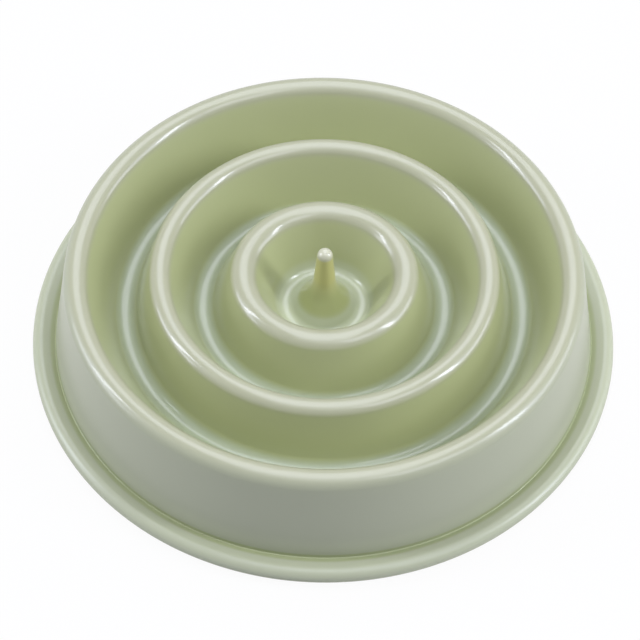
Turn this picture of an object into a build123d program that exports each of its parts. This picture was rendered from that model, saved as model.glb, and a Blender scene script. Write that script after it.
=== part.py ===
# Slow feeder bowl: one moulded shell with ring ridges and a centre spike, on four pressed-in rubber feet.
# Millimetres, +Z up, origin on the table plane at the centre of the bowl.

import math
import os

from build123d import *

os.makedirs("parts", exist_ok=True)

# Shell: the wall, then each ring that the turned section runs over, stepped out from the centre spike
wall = 2.6

spike_height = 48.4
spike_tip_round = 2.7
spike_waist_dia = 7.6
spike_flare_height = 16.5
spike_flare_foot = 0.5
spike_recess_height = 6.5
spike_recess_round = 2.5

well_dia = 27.2
well_floor = 18.0
well_round = 3.3

inner_ridge_step = 15.0
inner_ridge_height = 38.1
inner_ridge_round = 5.0

inner_trough_step = 14.4
inner_trough_floor = 17.8
inner_trough_round = 4.2

mid_ridge_step = 14.7
mid_ridge_height = 39.6
mid_ridge_round = 3.9

outer_trough_step = 12.9
outer_trough_floor = 17.8
outer_trough_round = 4.2

rim_step = 16.1
rim_height = 41.5
rim_round = 4.3

base_dia = 210.0
groove_inset = 5.0
groove_rise = 1.6
groove_round = 0.4
bead_dia = 6.0
bead_clearance = 1.5

# Feet, and the bosses under the outer trough that hold them
foot_names = ["foot_back_right", "foot_back_left", "foot_front_left", "foot_front_right"]
foot_first_angle = 45.0
foot_dia = 13.0
foot_height = 3.2
foot_edge_round = 0.8
foot_dish_dia = 7.0
foot_dish_depth = 0.5

boss_dia = 9.0
boss_root_skin = 0.6

stem_dia = 4.4
stem_length = 7.0
stem_tip_chamfer = 0.8
stem_clearance = 0.08
bore_end_clearance = 0.8


def common_tangent(first, second):
    """Ends of the straight run between two signed rounds, on the side the section travels over."""
    r1, z1, s1 = first
    r2, z2, s2 = second
    length = math.hypot(r2 - r1, z2 - z1)
    along = ((r2 - r1) / length, (z2 - z1) / length)
    lean = (s1 - s2) / length
    side = math.sqrt(1.0 - lean * lean)
    normal = (along[0] * lean + along[1] * side, along[1] * lean - along[0] * side)
    leave = (r1 + s1 * normal[0], z1 + s1 * normal[1])
    arrive = (r2 + s2 * normal[0], z2 + s2 * normal[1])
    return leave, arrive


def middle_of_arc(signed_round, begin, end):
    """Point halfway round the shorter arc of a round, from begin to end."""
    r, z, s = signed_round
    across = (begin[0] + end[0] - 2 * r, begin[1] + end[1] - 2 * z)
    reach = abs(s) / math.hypot(*across)
    return r + across[0] * reach, z + across[1] * reach


def crest(r, height, radius):
    """Signed round of a ridge whose top is at that height."""
    return (r, height - radius, radius)


def trough(r, floor, radius):
    """Signed round of a trough whose floor is at that height."""
    return (r, floor + radius, -radius)


# Radius of each ring, stepped out from the one inside it
well_r = well_dia / 2
inner_ridge_r = well_r + inner_ridge_step
inner_trough_r = inner_ridge_r + inner_trough_step
mid_ridge_r = inner_trough_r + mid_ridge_step
outer_trough_r = mid_ridge_r + outer_trough_step
rim_r = outer_trough_r + rim_step

# Signed rounds (centre r, centre z, radius): crests are positive, troughs are negative
bead_round = bead_dia / 2
bead = (base_dia / 2 - bead_round, bead_clearance + bead_round, bead_round)
groove = (bead[0] - groove_inset, bead[1] + groove_rise, -groove_round)
rings = [
    groove,
    crest(rim_r, rim_height, rim_round),
    trough(outer_trough_r, outer_trough_floor, outer_trough_round),
    crest(mid_ridge_r, mid_ridge_height, mid_ridge_round),
    trough(inner_trough_r, inner_trough_floor, inner_trough_round),
    crest(inner_ridge_r, inner_ridge_height, inner_ridge_round),
    trough(well_r, well_floor, well_round),
]
flare_round = spike_flare_height - spike_flare_foot
flare = (spike_waist_dia / 2 + flare_round, well_floor + spike_flare_height, -flare_round)
tip = crest(0.0, spike_height, spike_tip_round)
top_rounds = [bead] + rings + [flare, tip]

# The underside is the same run one wall thickness lower, with a plain recess under the spike
recess = crest(0.0, well_floor + spike_recess_height, spike_recess_round)
under_rounds = [(r, z, s - wall) for r, z, s in rings] + [recess]

top_runs = [common_tangent(a, b) for a, b in zip(top_rounds, top_rounds[1:])]
under_runs = [common_tangent(a, b) for a, b in zip(under_rounds, under_rounds[1:])]

# The flange web leaves the underside of the groove and meets the bead from below
web_leave, web_arrive = common_tangent((bead[0], bead[1], -bead_round), under_rounds[0])

tip_top = (0.0, spike_height)
recess_top = (0.0, well_floor + spike_recess_height)

with BuildPart() as bowl_shell:
    with BuildSketch(Plane.XZ) as shell_section:
        with BuildLine() as shell_outline:
            # Bead, from its foot outwards and over the top
            ThreePointArc(web_leave, (base_dia / 2, bead[1]), top_runs[0][0])
            # Visible side, from the bead to the top of the spike
            for k, (leave, arrive) in enumerate(top_runs):
                Line(leave, arrive)
                following = top_runs[k + 1][0] if k + 1 < len(top_runs) else tip_top
                ThreePointArc(arrive, middle_of_arc(top_rounds[k + 1], arrive, following), following)
            Line(tip_top, recess_top)
            # Hollow side, from the recess back out to the bead
            before = recess_top
            for k in range(len(under_runs) - 1, -1, -1):
                leave, arrive = under_runs[k]
                ThreePointArc(before, middle_of_arc(under_rounds[k + 1], before, arrive), arrive)
                Line(arrive, leave)
                before = leave
            ThreePointArc(before, middle_of_arc(under_rounds[0], before, web_arrive), web_arrive)
            Line(web_arrive, web_leave)
        make_face()
    revolve(axis=Axis.Z)
    # Bosses that hang under the outer trough, each bored for a foot stem
    with BuildSketch(Plane.XY.offset(foot_height)) as boss_ends:
        with PolarLocations(outer_trough_r, len(foot_names), foot_first_angle):
            Circle(boss_dia / 2)
    extrude(amount=outer_trough_floor - boss_root_skin - foot_height)
    with BuildSketch(Plane.XY.offset(foot_height)) as bore_mouths:
        with PolarLocations(outer_trough_r, len(foot_names), foot_first_angle):
            Circle(stem_dia / 2 + stem_clearance)
    extrude(amount=stem_length + bore_end_clearance, mode=Mode.SUBTRACT)

bowl_shell.part.label = "bowl_shell"
export_step(bowl_shell.part, "parts/bowl_shell.step")

# Rubber feet: a dished pad with a stem that presses up into its boss
for k, foot_name in enumerate(foot_names):
    angle = math.radians(foot_first_angle + k * 360.0 / len(foot_names))
    foot_plane = Plane(
        origin=(outer_trough_r * math.cos(angle), outer_trough_r * math.sin(angle), 0.0),
        x_dir=(1, 0, 0),
        z_dir=(0, -1, 0),
    )
    with BuildPart() as foot:
        with BuildSketch(foot_plane) as foot_section:
            with BuildLine() as foot_outline:
                Polyline(
                    (0.0, foot_dish_depth),
                    (foot_dish_dia / 2, foot_dish_depth),
                    (foot_dish_dia / 2 + foot_dish_depth, 0.0),
                    (foot_dia / 2 - foot_edge_round, 0.0),
                )
                RadiusArc(
                    (foot_dia / 2 - foot_edge_round, 0.0),
                    (foot_dia / 2, foot_edge_round),
                    -foot_edge_round,
                )
                Polyline(
                    (foot_dia / 2, foot_edge_round),
                    (foot_dia / 2, foot_height),
                    (stem_dia / 2, foot_height),
                    (stem_dia / 2, foot_height + stem_length - stem_tip_chamfer),
                    (stem_dia / 2 - stem_tip_chamfer, foot_height + stem_length),
                    (0.0, foot_height + stem_length),
                    (0.0, foot_dish_depth),
                )
            make_face()
        revolve(axis=Axis(foot_plane.origin, (0, 0, 1)))
    foot.part.label = foot_name
    export_step(foot.part, f"parts/{foot_name}.step")
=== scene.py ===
import math

import bmesh
import bpy
from mathutils import Matrix, Vector


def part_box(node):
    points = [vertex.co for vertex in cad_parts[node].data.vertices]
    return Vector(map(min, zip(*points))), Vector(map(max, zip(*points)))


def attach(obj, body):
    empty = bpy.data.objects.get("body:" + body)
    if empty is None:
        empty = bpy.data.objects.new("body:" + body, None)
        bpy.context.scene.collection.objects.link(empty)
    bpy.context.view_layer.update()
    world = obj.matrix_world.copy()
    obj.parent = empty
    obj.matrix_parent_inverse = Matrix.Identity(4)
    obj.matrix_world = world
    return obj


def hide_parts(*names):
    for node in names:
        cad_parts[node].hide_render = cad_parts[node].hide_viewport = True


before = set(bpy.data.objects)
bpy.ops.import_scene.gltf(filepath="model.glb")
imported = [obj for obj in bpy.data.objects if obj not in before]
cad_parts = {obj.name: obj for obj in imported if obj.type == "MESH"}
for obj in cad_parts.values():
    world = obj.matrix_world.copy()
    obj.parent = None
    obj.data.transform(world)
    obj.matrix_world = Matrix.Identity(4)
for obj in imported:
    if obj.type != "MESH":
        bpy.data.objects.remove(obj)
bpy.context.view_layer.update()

# Bowl shell
# One injection moulding in glossy sage-green plastic: a thin wall turned about the upright axis.
# It rises from the round bead at the base to the rim, dips into two ring troughs and a well, and
# ends in the centre spike. Four hollow bosses hang under the outer trough to take the feet.
shell_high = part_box("bowl_shell")[1]
base_radius = shell_high.x
spike_top = shell_high.z

wall = 0.0026

tip_round = 0.0027
waist_radius = 0.0038
flare_height = 0.0165
flare_round = 0.0160
recess_height = 0.0065
recess_round = 0.0025

well_radius = 0.0136
well_floor = 0.0180
well_round = 0.0033

inner_ridge_step = 0.0150
inner_ridge_top = 0.0381
inner_ridge_round = 0.0050

mid_ridge_step = 0.0147
mid_ridge_top = 0.0396
mid_ridge_round = 0.0039

inner_trough_step = 0.0144
outer_trough_step = 0.0129
trough_floor = 0.0178
trough_round = 0.0042

rim_step = 0.0161
rim_top = 0.0415
rim_round = 0.0043

groove_inset = 0.0050
groove_rise = 0.0016
groove_round = 0.0004

bead_round = 0.0030
bead_clearance = 0.0015
parting_half_width = 0.00018
parting_depth = 0.00016

inner_ridge_radius = well_radius + inner_ridge_step
inner_trough_radius = inner_ridge_radius + inner_trough_step
mid_ridge_radius = inner_trough_radius + mid_ridge_step
outer_trough_radius = mid_ridge_radius + outer_trough_step
rim_radius = outer_trough_radius + rim_step

arc_step = math.radians(6.0)
shell_turn_steps = 216
merge_distance = 1e-6
crisp_angle = math.radians(32.0)


def crest(radius, top, round_size):
    """Signed round of a ridge: centre radius, centre height, positive size."""
    return (radius, top - round_size, round_size)


def trough(radius, floor_height, round_size):
    """Signed round of a trough: centre radius, centre height, negative size."""
    return (radius, floor_height + round_size, -round_size)


def common_tangent(first, second):
    """Ends of the straight run of wall between two signed rounds."""
    start = Vector(first[:2])
    finish = Vector(second[:2])
    along = (finish - start).normalized()
    lean = (first[2] - second[2]) / (finish - start).length
    normal = along * lean + Vector((along.y, -along.x)) * math.sqrt(1.0 - lean * lean)
    return start + first[2] * normal, finish + second[2] * normal


def set_pen(section, point):
    """Sets the pen down on a point of the section: its distance from the axis and its height."""
    return section.verts.new((point[0], 0.0, point[1]))


def draw_straights(section, pen, corners):
    """Takes the pen straight from corner to corner and returns its last vertex."""
    for corner in corners:
        drawn = bmesh.ops.extrude_vert_indiv(section, verts=[pen])
        pen = drawn["verts"][0]
        pen.co = (corner[0], 0.0, corner[1])
    return pen


def draw_round(section, pen, centre, end, turn):
    """Takes the pen about a centre, anticlockwise where turn is 1, until it points at end."""
    begin = math.atan2(pen.co.z - centre[1], pen.co.x - centre[0])
    finish = math.atan2(end[1] - centre[1], end[0] - centre[0])
    sweep = ((finish - begin) * turn) % (2 * math.pi)
    drawn = bmesh.ops.spin(
        section,
        geom=[pen],
        cent=(centre[0], 0.0, centre[1]),
        axis=(0, -1, 0),
        angle=sweep * turn,
        steps=max(2, math.ceil(sweep / arc_step)),
    )
    return drawn["geom_last"][0]


def turn_solid(section, steps):
    """Spins a drawn section right round the upright axis into a closed mesh."""
    bmesh.ops.spin(
        section,
        geom=section.verts[:] + section.edges[:],
        cent=(0, 0, 0),
        axis=(0, 0, 1),
        angle=2 * math.pi,
        steps=steps,
        use_merge=True,
    )
    bmesh.ops.remove_doubles(section, verts=section.verts[:], dist=merge_distance)
    bmesh.ops.recalc_face_normals(section, faces=section.faces[:])


def shade(piece):
    """Shades a piece smooth, apart from edges that turn by more than the crisp angle."""
    for face in piece.data.polygons:
        face.use_smooth = True
    piece.data.set_sharp_from_angle(angle=crisp_angle)


def piece_from(bm, name):
    """Makes a smooth-shaded object of a bmesh, with its crisp edges kept."""
    mesh = bpy.data.meshes.new(name)
    bm.to_mesh(mesh)
    bm.free()
    piece = bpy.data.objects.new(name, mesh)
    bpy.context.scene.collection.objects.link(piece)
    shade(piece)
    return piece


bead = (base_radius - bead_round, bead_clearance + bead_round, bead_round)
groove = (bead[0] - groove_inset, bead[1] + groove_rise, -groove_round)
rings = [
    groove,
    crest(rim_radius, rim_top, rim_round),
    trough(outer_trough_radius, trough_floor, trough_round),
    crest(mid_ridge_radius, mid_ridge_top, mid_ridge_round),
    trough(inner_trough_radius, trough_floor, trough_round),
    crest(inner_ridge_radius, inner_ridge_top, inner_ridge_round),
    trough(well_radius, well_floor, well_round),
]
flare = (waist_radius + flare_round, well_floor + flare_height, -flare_round)
tip = crest(0.0, spike_top, tip_round)
upper_rounds = [bead] + rings + [flare, tip]
upper_runs = [common_tangent(a, b) for a, b in zip(upper_rounds, upper_rounds[1:])]

recess_top = well_floor + recess_height
recess = crest(0.0, recess_top, recess_round)
under_rounds = [(r, z, size - wall) for r, z, size in rings] + [recess]
under_runs = [common_tangent(a, b) for a, b in zip(under_rounds, under_rounds[1:])]
web_start, web_end = common_tangent((bead[0], bead[1], -bead_round), under_rounds[0])

# Visible side, from the foot of the bead over its parting line and up to the top of the spike
shell_section = bmesh.new()
pen = set_pen(shell_section, web_start)
parting_reach = bead[0] + math.sqrt(bead_round**2 - parting_half_width**2)
parting_low = (parting_reach, bead[1] - parting_half_width)
parting_mid = (base_radius - parting_depth, bead[1])
parting_high = (parting_reach, bead[1] + parting_half_width)
pen = draw_round(shell_section, pen, bead, parting_low, 1)
pen = draw_straights(shell_section, pen, [parting_mid, parting_high])
pen = draw_round(shell_section, pen, bead, upper_runs[0][0], 1)
turn_ends = [run[0] for run in upper_runs[1:]] + [(0.0, spike_top)]
for run, ring, turn_end in zip(upper_runs, upper_rounds[1:], turn_ends):
    pen = draw_straights(shell_section, pen, [run[1]])
    pen = draw_round(shell_section, pen, ring, turn_end, 1 if ring[2] > 0 else -1)

# Hollow side, from the recess under the spike back out to the bead
pen = set_pen(shell_section, (0.0, recess_top))
for run, ring in zip(reversed(under_runs), reversed(under_rounds)):
    pen = draw_round(shell_section, pen, ring, run[1], -1 if ring[2] > 0 else 1)
    pen = draw_straights(shell_section, pen, [run[0]])
pen = draw_round(shell_section, pen, under_rounds[0], web_end, 1)
draw_straights(shell_section, pen, [web_start])
turn_solid(shell_section, shell_turn_steps)
bowl_shell = piece_from(shell_section, "bowl_shell_moulding")

# Bosses for the feet, the stub of the gate, and the pads that the ejector pins push on
foot_names = ["foot_back_right", "foot_back_left", "foot_front_left", "foot_front_right"]
foot_places = {}
for foot_name in foot_names:
    foot_low, foot_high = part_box(foot_name)
    foot_places[foot_name] = Vector(((foot_low.x + foot_high.x) / 2, (foot_low.y + foot_high.y) / 2, 0.0))

boss_end = 0.0032
boss_radius = 0.0045
boss_edge_round = 0.0004
boss_root_start = 0.0138
boss_root_round = 0.0022
boss_root_top = 0.0166
boss_turn_steps = 64
bore_radius = 0.00228
bore_depth = 0.0078
bore_lead = 0.0003

gate_radius = 0.0016
gate_length = 0.0010
gate_chamfer = 0.0003
gate_root = 0.0015

pad_radius = 0.0022
pad_stand = 0.0002
pad_chamfer = 0.0002
pad_root = 0.0013
inner_pad_count = 6
inner_pad_first_angle = 30.0
outer_pad_count = 4
outer_pad_first_angle = 0.0
mark_turn_steps = 35


def ring_of(count, radius, first_angle):
    """Places evenly spaced on a ring about the upright axis, from a first angle in degrees."""
    angles = [math.radians(first_angle + k * 360.0 / count) for k in range(count)]
    return [Vector((radius * math.cos(angle), radius * math.sin(angle), 0.0)) for angle in angles]


def hang(fittings, section, steps, places):
    """Turns a drawn section into a solid and adds a copy of it to the fittings at each place."""
    turn_solid(section, steps)
    shape = bpy.data.meshes.new("fitting")
    section.to_mesh(shape)
    section.free()
    for place in places:
        placed = shape.copy()
        placed.transform(Matrix.Translation(place))
        fittings.from_mesh(placed)
        bpy.data.meshes.remove(placed)
    bpy.data.meshes.remove(shape)


def hang_stub(fittings, radius, chamfer, low, high, places):
    """Adds a short round stub with a chamfered lower edge to the fittings at each place."""
    section = bmesh.new()
    pen = set_pen(section, (0.0, low))
    corners = [(radius - chamfer, low), (radius, low + chamfer), (radius, high), (0.0, high)]
    draw_straights(section, pen, corners)
    hang(fittings, section, mark_turn_steps, places)


fittings = bmesh.new()
bore_end = boss_end + bore_depth
edge_centre = (boss_radius - boss_edge_round, boss_end + boss_edge_round)
root_centre = (boss_radius + boss_root_round, boss_root_start)
bore_corners = [
    (bore_radius, bore_end),
    (bore_radius, boss_end + bore_lead),
    (bore_radius + bore_lead, boss_end),
    (edge_centre[0], boss_end),
]
boss_section = bmesh.new()
pen = set_pen(boss_section, (0.0, bore_end))
pen = draw_straights(boss_section, pen, bore_corners)
pen = draw_round(boss_section, pen, edge_centre, (boss_radius, edge_centre[1]), 1)
pen = draw_straights(boss_section, pen, [(boss_radius, boss_root_start)])
pen = draw_round(boss_section, pen, root_centre, (root_centre[0], boss_root_start + boss_root_round), -1)
draw_straights(boss_section, pen, [(root_centre[0], boss_root_top), (0.0, boss_root_top)])
hang(fittings, boss_section, boss_turn_steps, foot_places.values())

gate_low = recess_top - gate_length
gate_high = recess_top + gate_root
hang_stub(fittings, gate_radius, gate_chamfer, gate_low, gate_high, [Vector((0.0, 0.0, 0.0))])

trough_under = trough_floor - wall
pad_places = ring_of(inner_pad_count, inner_trough_radius, inner_pad_first_angle)
pad_places += ring_of(outer_pad_count, outer_trough_radius, outer_pad_first_angle)
hang_stub(fittings, pad_radius, pad_chamfer, trough_under - pad_stand, trough_under + pad_root, pad_places)

under_fittings = piece_from(fittings, "under_fittings")
union = bowl_shell.modifiers.new("under fittings", "BOOLEAN")
union.operation = "UNION"
union.solver = "EXACT"
union.object = under_fittings
whole_shell = bowl_shell.evaluated_get(bpy.context.evaluated_depsgraph_get())
bowl_shell.data = bpy.data.meshes.new_from_object(whole_shell)
bowl_shell.modifiers.clear()
bpy.data.objects.remove(under_fittings)
shade(bowl_shell)

drift_detail = 3.0
drift_break_up = 0.5
peel_detail = 2.0
peel_break_up = 0.45


def moulded_skin():
    """Skin of a moulding: a slow drift over the surface, and the fine waviness of the mould's polish."""
    group = bpy.data.node_groups.new("moulded skin", "ShaderNodeTree")
    sockets = group.interface
    sockets.new_socket("Place", in_out="INPUT", socket_type="NodeSocketVector")
    sockets.new_socket("Drift per metre", in_out="INPUT", socket_type="NodeSocketFloat")
    sockets.new_socket("Peel per metre", in_out="INPUT", socket_type="NodeSocketFloat")
    sockets.new_socket("Drift", in_out="OUTPUT", socket_type="NodeSocketFloat")
    sockets.new_socket("Peel", in_out="OUTPUT", socket_type="NodeSocketFloat")
    given = group.nodes.new("NodeGroupInput")
    result = group.nodes.new("NodeGroupOutput")
    drift = group.nodes.new("ShaderNodeTexNoise")
    drift.inputs["Detail"].default_value = drift_detail
    drift.inputs["Roughness"].default_value = drift_break_up
    peel = group.nodes.new("ShaderNodeTexNoise")
    peel.inputs["Detail"].default_value = peel_detail
    peel.inputs["Roughness"].default_value = peel_break_up
    join = group.links.new
    join(given.outputs["Place"], drift.inputs["Vector"])
    join(given.outputs["Drift per metre"], drift.inputs["Scale"])
    join(given.outputs["Place"], peel.inputs["Vector"])
    join(given.outputs["Peel per metre"], peel.inputs["Scale"])
    join(drift.outputs["Fac"], result.inputs["Drift"])
    join(peel.outputs["Fac"], result.inputs["Peel"])
    return group


skin_group = moulded_skin()


def skinned_material(name, pale, deep, roughness, drift_scale, peel_scale, peel_height):
    """Material whose colour and roughness drift with the moulded skin and whose gloss ripples with it."""
    material = bpy.data.materials.new(name)
    material.use_nodes = True
    nodes = material.node_tree.nodes
    join = material.node_tree.links.new
    shader = nodes["Principled BSDF"]
    place = nodes.new("ShaderNodeTexCoord")
    skin = nodes.new("ShaderNodeGroup")
    skin.node_tree = skin_group
    skin.inputs["Drift per metre"].default_value = drift_scale
    skin.inputs["Peel per metre"].default_value = peel_scale
    join(place.outputs["Object"], skin.inputs["Place"])
    tint = nodes.new("ShaderNodeMix")
    tint.data_type = "RGBA"
    tint.inputs["A"].default_value = (*deep, 1.0)
    tint.inputs["B"].default_value = (*pale, 1.0)
    join(skin.outputs["Drift"], tint.inputs["Factor"])
    join(tint.outputs["Result"], shader.inputs["Base Color"])
    polish = nodes.new("ShaderNodeMapRange")
    polish.inputs["To Min"].default_value = roughness[0]
    polish.inputs["To Max"].default_value = roughness[1]
    join(skin.outputs["Drift"], polish.inputs["Value"])
    join(polish.outputs["Result"], shader.inputs["Roughness"])
    ripple = nodes.new("ShaderNodeBump")
    ripple.inputs["Strength"].default_value = 1.0
    ripple.inputs["Distance"].default_value = peel_height
    join(skin.outputs["Peel"], ripple.inputs["Height"])
    join(ripple.outputs["Normal"], shader.inputs["Normal"])
    return material


def ramp(value, fade):
    """Mask that rises smoothly from 0 to 1 while a value goes from the fade's start to its end."""
    tree = value.id_data
    node = tree.nodes.new("ShaderNodeMapRange")
    node.interpolation_type = "SMOOTHSTEP"
    node.inputs["From Min"].default_value = fade[0]
    node.inputs["From Max"].default_value = fade[1]
    tree.links.new(value, node.inputs["Value"])
    return node.outputs["Result"]


def reckon(operation, *terms):
    """Result of one sum on sockets and plain numbers, the first term a socket."""
    tree = terms[0].id_data
    node = tree.nodes.new("ShaderNodeMath")
    node.operation = operation
    for term, socket in zip(terms, node.inputs):
        if isinstance(term, bpy.types.NodeSocket):
            tree.links.new(term, socket)
        else:
            socket.default_value = term
    return node.outputs[0]


def where_all(*masks):
    """Mask that is up only where every one of the masks is up."""
    result = masks[0]
    for mask in masks[1:]:
        result = reckon("MULTIPLY", result, mask)
    return result


def lay_over(below, mask, colour):
    """Lays a colour over another one where a mask is up."""
    tree = below.id_data
    node = tree.nodes.new("ShaderNodeMix")
    node.data_type = "RGBA"
    node.inputs["B"].default_value = (*colour, 1.0)
    tree.links.new(mask, node.inputs["Factor"])
    tree.links.new(below, node.inputs["A"])
    return node.outputs["Result"]


sage_deep = (0.350, 0.378, 0.182)
sage_pale = (0.378, 0.404, 0.203)
# Painted reflection: a bluer tint on the trough floors stands for the pale lamps mirrored along their
# bottoms.
floor_reflection_sage = (0.330, 0.372, 0.236)
# Painted highlight: a paler, bluer tint on the well floor stands for lamps mirrored round the foot of the
# spike.
well_reflection_sage = (0.425, 0.460, 0.295)
# Painted reflection: a greyer, bluer tint on the ridge tops stands for the lamps and white surround
# mirrored there.
ridge_reflection_sage = (0.348, 0.353, 0.226)
# Painted reflection: a greyer, bluer tint on the outer wall stands for the white table and surround
# mirrored in it.
wall_reflection_sage = (0.347, 0.363, 0.248)
# Painted light: a paler tint on the foot of the outer wall lifts the shade that falls there beside the
# bead.
painted_wall_foot_light = (0.392, 0.412, 0.282)
# Painted highlight: a paler tint over the top of the bead, where the overhead light is mirrored.
bead_highlight_sage = (0.400, 0.422, 0.285)
# Painted shade: a darker line down in the groove between the wall and the bead.
groove_shade = (0.318, 0.350, 0.185)
# Painted shade: darker and greener at the foot of the spike, down in the well.
spike_root_shade = (0.335, 0.362, 0.150)
warm_spike = (0.470, 0.460, 0.175)
# Painted highlight: a pale spot on the rounded tip of the spike.
tip_highlight = (0.480, 0.480, 0.335)
cool_sheen = (0.90, 0.92, 1.0, 1.0)
plastic_ior = 1.46
inside_gloss = 0.50
inside_gloss_roughness = 0.09

# Fades of the tints and painted light by distance from the axis
outside_fade = (rim_radius, rim_radius + 0.0050)
off_spike_fade = (0.0100, 0.0160)
on_spike_fade = (0.0090, 0.0050)
root_in_fade = (0.0028, 0.0036)
root_out_fade = (0.0098, 0.0076)
floor_in_fade = (0.0090, 0.0125)
well_in_fade = (0.0080, 0.0102)
well_out_fade = (0.0185, 0.0160)
groove_in_fade = (groove[0] - 0.0015, groove[0] - 0.0007)
groove_out_fade = (groove[0] + 0.0023, groove[0] + 0.0008)
bead_in_fade = (bead[0] - 0.0032, bead[0] - 0.0014)

# Fades of the tints and painted light by height above the table, and on the ridges by depth below the line
# of their tops
ridge_depth_fade = (0.0042, 0.0012)
floor_fade = (trough_floor + 0.0024, trough_floor + 0.0002)
floor_under_fade = (trough_floor - 0.0012, trough_floor - 0.0004)
well_side_fade = (well_floor + 0.0070, well_floor + 0.0030)
root_fade = (0.0330, 0.0270)
wall_foot_fade = (0.0160, 0.0090)
bead_top_fade = (0.0095, 0.0070)
bead_side_fade = (bead[1] + 0.0001, bead[1] + 0.0017)
groove_fade = (groove[1] + 0.0013, groove[1] + 0.0005)
spike_fade = (0.0260, 0.0360)
tip_fade = (spike_top - 0.0036, spike_top - 0.0022)

sage_plastic = skinned_material(
    "sage plastic",
    pale=sage_pale,
    deep=sage_deep,
    roughness=(0.28, 0.34),
    drift_scale=28.0,
    peel_scale=900.0,
    peel_height=0.000012,
)
sage_nodes = sage_plastic.node_tree.nodes
sage_join = sage_plastic.node_tree.links.new
sage_shader = sage_nodes["Principled BSDF"]
sage_shader.inputs["IOR"].default_value = plastic_ior
sage_shader.inputs["Specular Tint"].default_value = cool_sheen
sage_shader.inputs["Coat Roughness"].default_value = inside_gloss_roughness

sage_place = sage_nodes["Texture Coordinate"].outputs["Object"]
flattened = sage_nodes.new("ShaderNodeVectorMath")
flattened.operation = "MULTIPLY"
flattened.inputs[1].default_value = (1.0, 1.0, 0.0)
reach = sage_nodes.new("ShaderNodeVectorMath")
reach.operation = "LENGTH"
split_place = sage_nodes.new("ShaderNodeSeparateXYZ")
sage_join(sage_place, flattened.inputs[0])
sage_join(flattened.outputs[0], reach.inputs[0])
sage_join(sage_place, split_place.inputs[0])
from_axis = reach.outputs["Value"]
height = split_place.outputs["Z"]

ridge_rise = (rim_top - inner_ridge_top) / (rim_radius - inner_ridge_radius)
ridge_line_at_axis = inner_ridge_top - ridge_rise * inner_ridge_radius
ridge_line = reckon("MULTIPLY_ADD", from_axis, ridge_rise, ridge_line_at_axis)
ridge_depth = reckon("SUBTRACT", ridge_line, height)
ridge_tops = where_all(ramp(ridge_depth, ridge_depth_fade), ramp(from_axis, off_spike_fade))

outside = ramp(from_axis, outside_fade)
above_under = ramp(height, floor_under_fade)
floors = where_all(above_under, ramp(height, floor_fade), ramp(from_axis, floor_in_fade))
well_ring = where_all(ramp(from_axis, well_in_fade), ramp(from_axis, well_out_fade))
well = where_all(above_under, well_ring, ramp(height, well_side_fade))
root_ring = where_all(ramp(from_axis, root_in_fade), ramp(from_axis, root_out_fade))
wall_foot = where_all(outside, ramp(height, wall_foot_fade))
bead_heights = where_all(ramp(height, bead_top_fade), ramp(height, bead_side_fade))
bead_crown = where_all(bead_heights, ramp(from_axis, bead_in_fade))
groove_sides = where_all(ramp(from_axis, groove_in_fade), ramp(from_axis, groove_out_fade))
on_spike = ramp(from_axis, on_spike_fade)
# Colours laid over the sage: painted reflection, highlight, light and shade, apart from the warmer spike,
# which is the plastic's own tone.
tints_and_painted_light = [
    (floors, floor_reflection_sage),
    (well, well_reflection_sage),
    (ridge_tops, ridge_reflection_sage),
    (outside, wall_reflection_sage),
    (wall_foot, painted_wall_foot_light),
    (bead_crown, bead_highlight_sage),
    (where_all(groove_sides, ramp(height, groove_fade)), groove_shade),
    (where_all(root_ring, ramp(height, root_fade)), spike_root_shade),
    (where_all(on_spike, ramp(height, spike_fade)), warm_spike),
    (where_all(on_spike, ramp(height, tip_fade)), tip_highlight),
]
sage_tint = sage_shader.inputs["Base Color"].links[0].from_socket
for tint_place, tint_colour in tints_and_painted_light:
    sage_tint = lay_over(sage_tint, tint_place, tint_colour)
sage_join(sage_tint, sage_shader.inputs["Base Color"])
gloss = reckon("MULTIPLY_ADD", outside, -inside_gloss, inside_gloss)
sage_join(gloss, sage_shader.inputs["Coat Weight"])

bowl_shell.data.materials.clear()
bowl_shell.data.materials.append(sage_plastic)
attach(bowl_shell, "root")
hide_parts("bowl_shell")

# Feet
# Four dark rubber pads that keep the bowl from sliding. Each is one moulded piece whose stem is
# pressed up into a boss of the shell, with a shallow dish underneath that grips like a sucker.
foot_radius = 0.0065
foot_height = boss_end
foot_edge_round = 0.0008
foot_top_round = 0.0005
dish_radius = 0.0035
dish_depth = 0.0005
grip_radius = 0.0049
grip_width = 0.0003
grip_depth = 0.00025
stem_radius = 0.0022
stem_length = 0.0070
stem_chamfer = 0.0008
foot_turn_steps = 64

rubber_pale = (0.030, 0.030, 0.031)
rubber_deep = (0.018, 0.018, 0.019)

foot_rubber = skinned_material(
    "foot rubber",
    pale=rubber_pale,
    deep=rubber_deep,
    roughness=(0.62, 0.80),
    drift_scale=160.0,
    peel_scale=5200.0,
    peel_height=0.00006,
)

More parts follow.
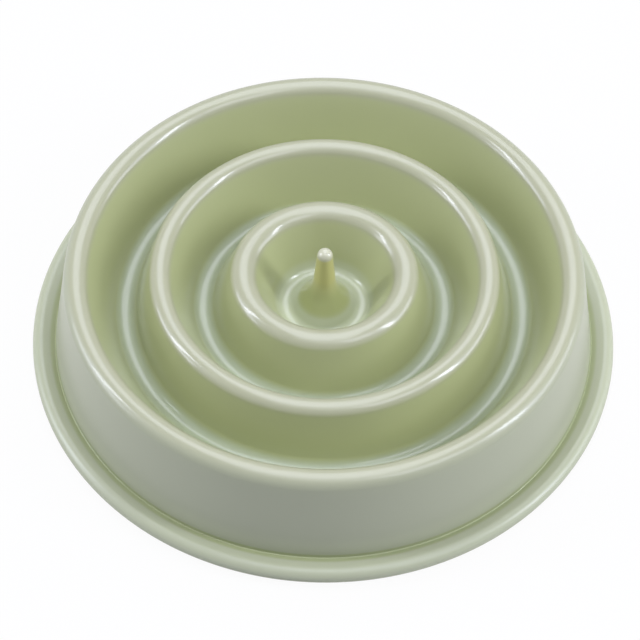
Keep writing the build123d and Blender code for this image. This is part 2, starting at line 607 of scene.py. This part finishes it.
lower_centre = (foot_radius - foot_edge_round, foot_edge_round)
upper_centre = (foot_radius - foot_top_round, foot_height - foot_top_round)
stem_top = foot_height + stem_length
sole_corners = [
    (dish_radius, dish_depth),
    (dish_radius + dish_depth, 0.0),
    (grip_radius - grip_width, 0.0),
    (grip_radius, grip_depth),
    (grip_radius + grip_width, 0.0),
    (lower_centre[0], 0.0),
]
stem_corners = [
    (stem_radius, foot_height),
    (stem_radius, stem_top - stem_chamfer),
    (stem_radius - stem_chamfer, stem_top),
    (0.0, stem_top),
]
for foot_name, foot_place in foot_places.items():
    foot_section = bmesh.new()
    pen = set_pen(foot_section, (0.0, dish_depth))
    pen = draw_straights(foot_section, pen, sole_corners)
    pen = draw_round(foot_section, pen, lower_centre, (foot_radius, foot_edge_round), 1)
    pen = draw_straights(foot_section, pen, [(foot_radius, upper_centre[1])])
    pen = draw_round(foot_section, pen, upper_centre, (upper_centre[0], foot_height), 1)
    draw_straights(foot_section, pen, stem_corners)
    turn_solid(foot_section, foot_turn_steps)
    bmesh.ops.translate(foot_section, verts=foot_section.verts[:], vec=foot_place)
    foot = piece_from(foot_section, foot_name + "_rubber")
    foot.data.materials.append(foot_rubber)
    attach(foot, "root")
    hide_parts(foot_name)

# Floor
# A wide pale table top that fades into the white surround, and keeps the bowl's soft shadow.
# It shows near white to the camera and in reflections, and lights the bowl as a matt grey.
floor_size = 12.0
floor_grey = (0.62, 0.62, 0.62, 1.0)
floor_roughness = 0.9
floor_white = 0.95
pure_white = (1.0, 1.0, 1.0, 1.0)


def white_to_the_eye(tree, plain, white, share, output):
    """Shows a share of the white shader to the camera and in reflections, and the plain one to light."""
    path = tree.nodes.new("ShaderNodeLightPath")
    seen = reckon("MAXIMUM", path.outputs["Is Camera Ray"], path.outputs["Is Glossy Ray"])
    seen = reckon("MAXIMUM", seen, path.outputs["Is Transmission Ray"])
    blend = tree.nodes.new("ShaderNodeMixShader")
    tree.links.new(reckon("MULTIPLY", seen, share), blend.inputs[0])
    tree.links.new(plain.outputs[0], blend.inputs[1])
    tree.links.new(white.outputs[0], blend.inputs[2])
    tree.links.new(blend.outputs[0], output.inputs["Surface"])


floor_bm = bmesh.new()
bmesh.ops.create_grid(floor_bm, x_segments=1, y_segments=1, size=floor_size / 2)
floor = piece_from(floor_bm, "floor")
floor_paint = bpy.data.materials.new("pale table")
floor_paint.use_nodes = True
floor_nodes = floor_paint.node_tree.nodes
floor_shader = floor_nodes["Principled BSDF"]
floor_shader.inputs["Base Color"].default_value = floor_grey
floor_shader.inputs["Roughness"].default_value = floor_roughness
floor_glow = floor_nodes.new("ShaderNodeEmission")
floor_glow.inputs["Color"].default_value = pure_white
floor_output = floor_nodes["Material Output"]
white_to_the_eye(floor_paint.node_tree, floor_shader, floor_glow, floor_white, floor_output)
floor.data.materials.append(floor_paint)

# Light
# A softbox overhead and a wide one behind it fill the channels. Narrow ones at the sides draw the
# bright streaks along the ridges, low ones bring up the outer wall, and a pale surround softens it all.
aim_height = 0.03
daylight = (0.95, 0.97, 1.10)
surround_light = (0.203, 0.216, 0.279, 1.0)
surround_white = 0.98


def softbox(name, place, size, power):
    """Rectangular lamp that faces the bowl."""
    lamp = bpy.data.lights.new(name, "AREA")
    lamp.shape = "RECTANGLE"
    lamp.size, lamp.size_y = size
    lamp.energy = power
    lamp.color = daylight
    holder = bpy.data.objects.new(name, lamp)
    holder.location = place
    facing = Vector(place) - Vector((0.0, 0.0, aim_height))
    holder.rotation_euler = facing.to_track_quat("Z", "Y").to_euler()
    bpy.context.scene.collection.objects.link(holder)


softbox("overhead softbox", place=(0.0, 0.12, 1.0), size=(0.5, 0.6), power=3.5)
softbox("back softbox", place=(0.0, 0.60, 0.85), size=(0.9, 0.4), power=3.55)
softbox("left softbox", place=(-0.75, 0.0, 0.55), size=(0.12, 0.45), power=2.6)
softbox("right softbox", place=(0.75, -0.20, 0.55), size=(0.12, 0.45), power=3.5)
softbox("low left softbox", place=(-0.95, 0.0, 0.28), size=(0.6, 0.35), power=2.95)
softbox("low right softbox", place=(0.95, 0.0, 0.28), size=(0.6, 0.35), power=2.65)
softbox("front softbox", place=(0.42, -0.42, 0.82), size=(0.4, 0.4), power=1.8)
softbox("high front softbox", place=(0.0, -0.35, 0.95), size=(0.6, 0.4), power=0.9)

world = bpy.data.worlds.new("surround")
world.use_nodes = True
bpy.context.scene.world = world
world_nodes = world.node_tree.nodes
soft_light = world_nodes["Background"]
soft_light.inputs["Color"].default_value = surround_light
white_wall = world_nodes.new("ShaderNodeBackground")
white_wall.inputs["Color"].default_value = pure_white
white_wall.inputs["Strength"].default_value = surround_white
white_to_the_eye(world.node_tree, soft_light, white_wall, 1.0, world_nodes["World Output"])

# Camera
# A long lens that looks down at the bowl from the front, with a slight roll. Its place and length
# follow from the ellipses that the base, the rim and the ridges make in the picture.
camera_elevation = math.radians(53.885)
camera_roll = math.radians(1.19)
camera_distance = 0.70077
camera_drop = 0.0015
focal_pixels = 1915.48
film_width_mm = 36.0
picture_size = 640
centre_pixel = (323.355, 335.986)

lens = bpy.data.cameras.new("camera")
lens.sensor_width = film_width_mm
lens.lens = focal_pixels * film_width_mm / picture_size
lens.shift_x = -(centre_pixel[0] - picture_size / 2) / picture_size
lens.shift_y = (centre_pixel[1] - picture_size / 2) / picture_size
camera = bpy.data.objects.new("camera", lens)
camera_back = Vector((0.0, -math.cos(camera_elevation), math.sin(camera_elevation)))
camera_up = Vector((0.0, math.sin(camera_elevation), math.cos(camera_elevation)))
facing = Matrix((Vector((1.0, 0.0, 0.0)), camera_up, camera_back)).transposed()
turned = facing @ Matrix.Rotation(camera_roll, 3, "Z")
camera_place = camera_back * camera_distance - Vector((0.0, 0.0, camera_drop))
camera.matrix_world = Matrix.Translation(camera_place) @ turned.to_4x4()
bpy.context.scene.collection.objects.link(camera)
bpy.context.scene.camera = camera
bpy.context.scene.view_settings.view_transform = "Standard"
